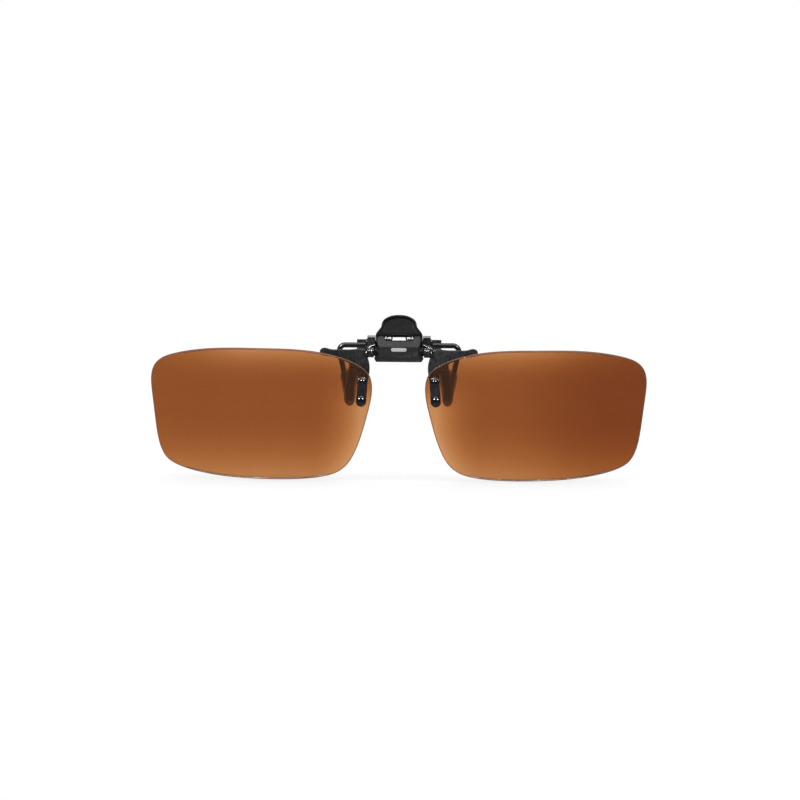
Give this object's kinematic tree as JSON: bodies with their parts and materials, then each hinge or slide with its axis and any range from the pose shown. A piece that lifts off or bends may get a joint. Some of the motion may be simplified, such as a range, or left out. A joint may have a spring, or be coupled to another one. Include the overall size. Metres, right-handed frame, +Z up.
{
  "type": "clip-on flip lenses",
  "caption": "Pair of brown rimless clip-on lenses on a small spring clamp with a thumb lever, and a hinge that flips both lenses up together.",
  "frame": {"origin": "the middle of the grip slot, midway between the four clamp pads, where the top of a spectacle lens is held", "axes": "+X towards the wearer's left lens along the pair's length, -Y out of the front, +Z up; the spectacles enter the slot from below"},
  "size_m": [0.1316, 0.013, 0.0435],
  "materials": {
    "lever": "black moulded plastic, semi-gloss",
    "housing": "dark grey-black moulded plastic, semi-gloss",
    "black_metal": "black lacquered sheet steel",
    "black_wire": "black lacquered spring wire",
    "rivet": "black lacquered, polished domes",
    "steel": "bright steel",
    "spring": "black oxide spring steel",
    "silver": "satin silver",
    "pad": "dark translucent silicone",
    "lens": "brown tinted polarising plastic, polished",
    "bushing": "natural nylon"
  },
  "bodies": {
    "clamp_frame": {"front_housing": "housing", "name_bar": "silver", "housing_cover": "housing", "housing_screws": "steel", "detent_leaf": "steel", "front_jaw": "black_metal", "front_pad_left": "pad", "front_pad_right": "pad", "lever_pin": "steel", "pin_caps": "black_metal", "torsion_spring": "spring"},
    "lever": {"thumb_lever": "lever", "rear_jaw_plate": "black_metal", "jaw_rivets": "steel", "rear_jaw_wire": "black_wire", "rear_pad_left": "pad", "rear_pad_right": "pad"},
    "flip_lenses": {"flip_axle": "steel", "lens_bracket_left": "black_metal", "lens_left": "lens", "lens_bushings_left": "bushing", "rivet_plate_left": "black_metal", "lens_rivets_left": "rivet", "lens_bracket_right": "black_metal", "lens_right": "lens", "lens_bushings_right": "bushing", "rivet_plate_right": "black_metal", "lens_rivets_right": "rivet"}
  },
  "joints": [
    {"name": "lens_flip", "type": "hinge", "parent": "clamp_frame", "child": "flip_lenses", "pos_m": [0, -0.0051, 0.0119], "axis": [-1, 0, 0], "range_deg": [0, 90], "deforming": ["detent_leaf"]},
    {"name": "lever_squeeze", "type": "hinge", "parent": "clamp_frame", "child": "lever", "pos_m": [0, -0.0018, 0.0142], "axis": [1, 0, 0], "range_deg": [-7, 20], "stiffness_Nm_per_rad": 0.02, "deforming": ["torsion_spring"]}
  ]
}
